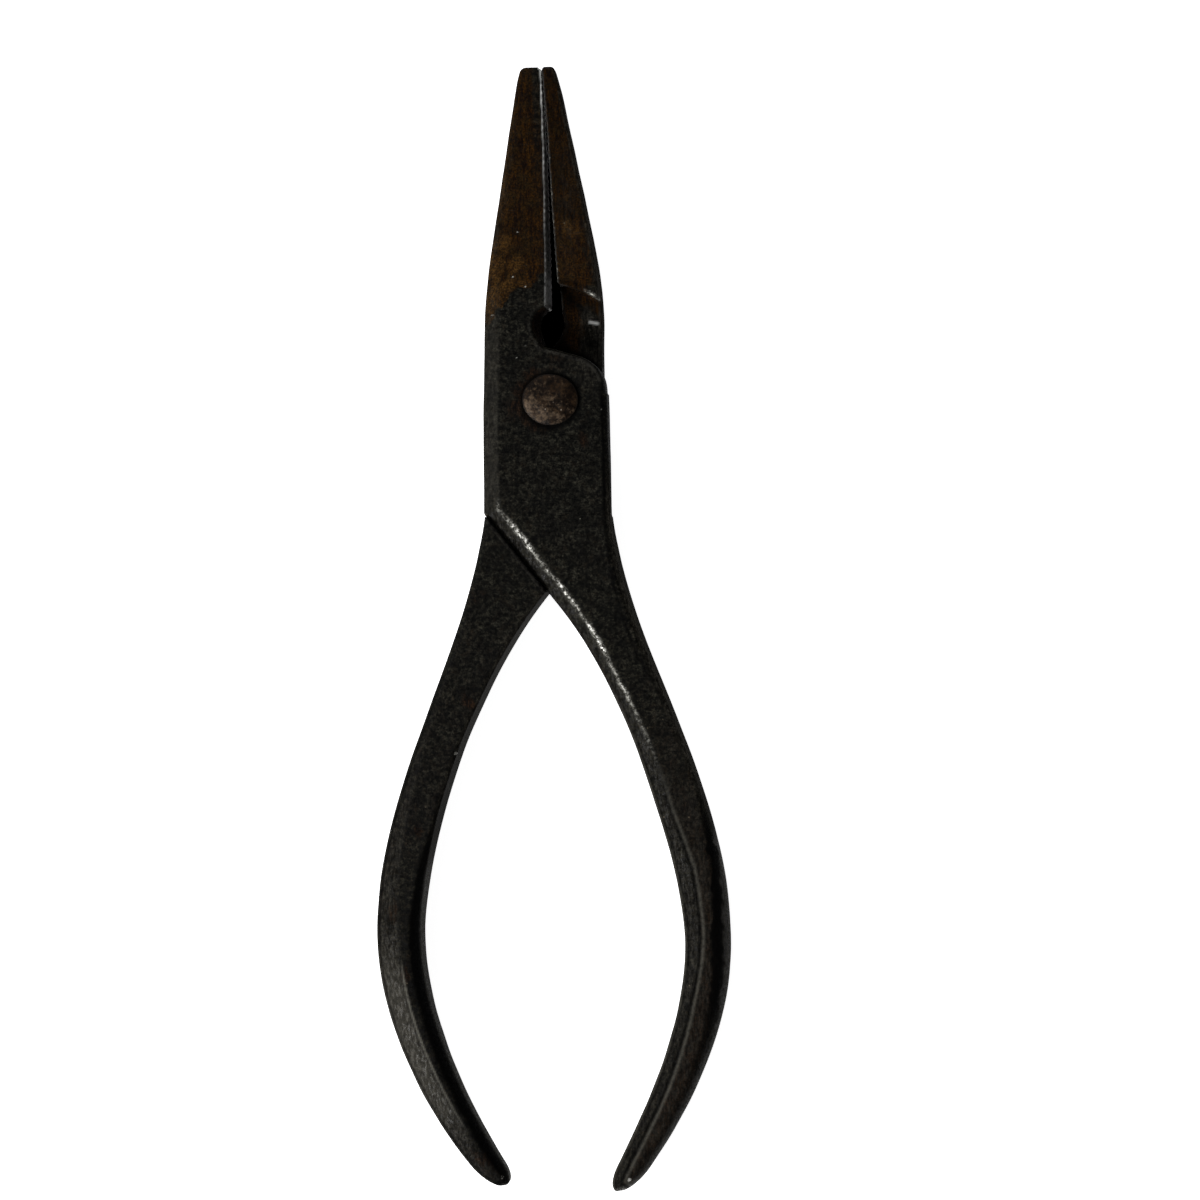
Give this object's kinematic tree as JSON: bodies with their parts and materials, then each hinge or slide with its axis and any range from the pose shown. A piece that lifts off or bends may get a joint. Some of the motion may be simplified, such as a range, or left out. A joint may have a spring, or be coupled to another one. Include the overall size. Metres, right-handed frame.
{
  "type": "long nose pliers",
  "caption": "Slim long nose pliers with tapered flat jaws, a half-lap joint held by a domed rivet, and long bare bowed handles with rounded ends.",
  "frame": {"origin": "on the rivet's axis, in the plane of the back faces that the part rests on", "axes": "+Y along the closed pliers towards the jaw tips, +Z along the rivet out of the face with the domed head, +X to the right when that face is seen with the jaws up"},
  "size_m": [0.0503, 0.1597, 0.0101],
  "materials": {
    "front_lever": "forged, black oxide, worn bright on the edges and rust-stained at the jaw",
    "rear_lever": "forged, black oxide, worn bright on the edges and rust-stained at the jaw",
    "pivot_rivet": "worn, with a warm brown tarnish"
  },
  "bodies": {
    "rear": {"rear_lever": "rear_lever", "pivot_rivet": "pivot_rivet"},
    "front": {"front_lever": "front_lever"}
  },
  "joints": [
    {"name": "jaw_hinge", "type": "hinge", "parent": "rear", "child": "front", "pos_m": [0, 0, 0.00475], "axis": [0, 0, 1], "range_deg": [0, 60]}
  ]
}
